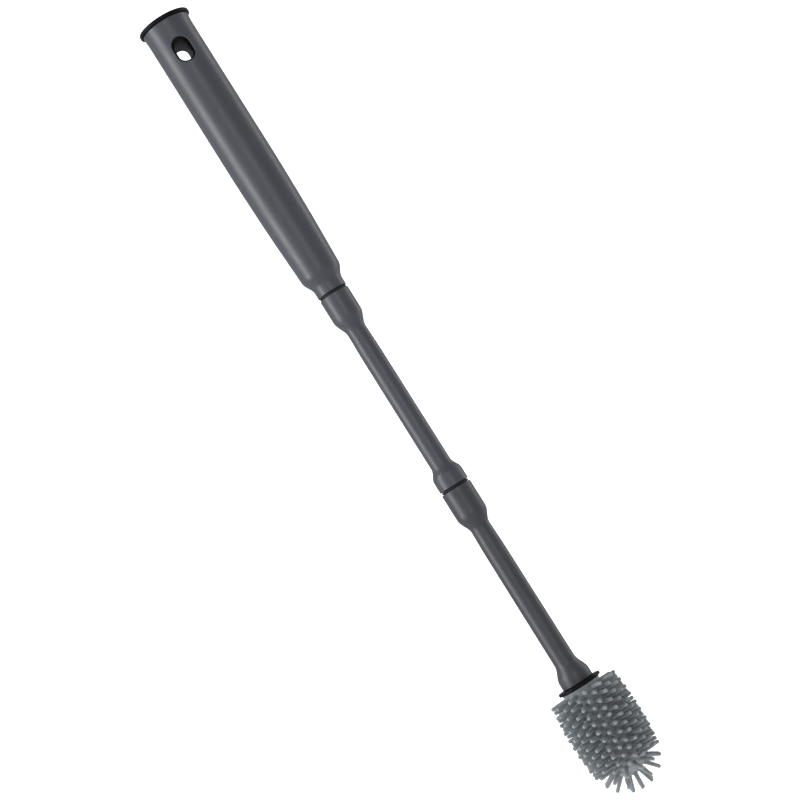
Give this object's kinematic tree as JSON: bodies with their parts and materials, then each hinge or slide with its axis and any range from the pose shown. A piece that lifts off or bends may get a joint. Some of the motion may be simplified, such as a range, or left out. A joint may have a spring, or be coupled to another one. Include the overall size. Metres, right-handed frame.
{
  "type": "toilet brush",
  "caption": "Toilet brush with a soft bristle head on a straight sectional handle that screws together, with a hanging hole near the capped end.",
  "frame": {"origin": "lowest bristle tip, on the handle's axis", "axes": "+Z along the handle from the bristle head up to the end cap; the hanging hole runs along Y"},
  "size_m": [0.0484, 0.0484, 0.55],
  "materials": {
    "slate_plastic": "satin",
    "black_plastic": "satin",
    "seal_rubber": "matte",
    "grey_soft_plastic": "satin"
  },
  "bodies": {
    "grip_body": {"grip": "slate_plastic", "end_cap": "black_plastic"},
    "upper_ring_body": {"upper_seal_ring": "seal_rubber"},
    "upper_rod_body": {"upper_rod": "slate_plastic"},
    "middle_ring_body": {"middle_seal_ring": "seal_rubber"},
    "lower_rod_body": {"lower_rod": "slate_plastic"},
    "lower_ring_body": {"lower_seal_ring": "seal_rubber"},
    "head_body": {"head_core": "black_plastic", "bristle_sleeve": "grey_soft_plastic"}
  },
  "joints": [
    {"name": "upper_unscrew_travel", "type": "slide", "parent": "grip_body", "child": "upper_ring_body", "axis": [0, 0, -1], "range_m": [0, 0.016]},
    {"name": "upper_unscrew", "type": "hinge", "parent": "upper_ring_body", "child": "upper_rod_body", "pos_m": [0, 0, 0.3506], "axis": [0, 0, -1], "range_deg": [0, 1440.5]},
    {"name": "middle_unscrew_travel", "type": "slide", "parent": "upper_rod_body", "child": "middle_ring_body", "axis": [0, 0, -1], "range_m": [0, 0.016]},
    {"name": "middle_unscrew", "type": "hinge", "parent": "middle_ring_body", "child": "lower_rod_body", "pos_m": [0, 0, 0.2113], "axis": [0, 0, -1], "range_deg": [0, 1440.5]},
    {"name": "head_unscrew_travel", "type": "slide", "parent": "lower_rod_body", "child": "lower_ring_body", "axis": [0, 0, -1], "range_m": [0, 0.016]},
    {"name": "head_unscrew", "type": "hinge", "parent": "lower_ring_body", "child": "head_body", "pos_m": [0, 0, 0.0721], "axis": [0, 0, -1], "range_deg": [0, 1440.5]}
  ],
  "couplings": [
    {"joint": "upper_unscrew", "follows": "upper_unscrew_travel", "rad_per_m": 1570.8},
    {"joint": "middle_unscrew", "follows": "middle_unscrew_travel", "rad_per_m": 1570.8},
    {"joint": "head_unscrew", "follows": "head_unscrew_travel", "rad_per_m": 1570.8}
  ]
}
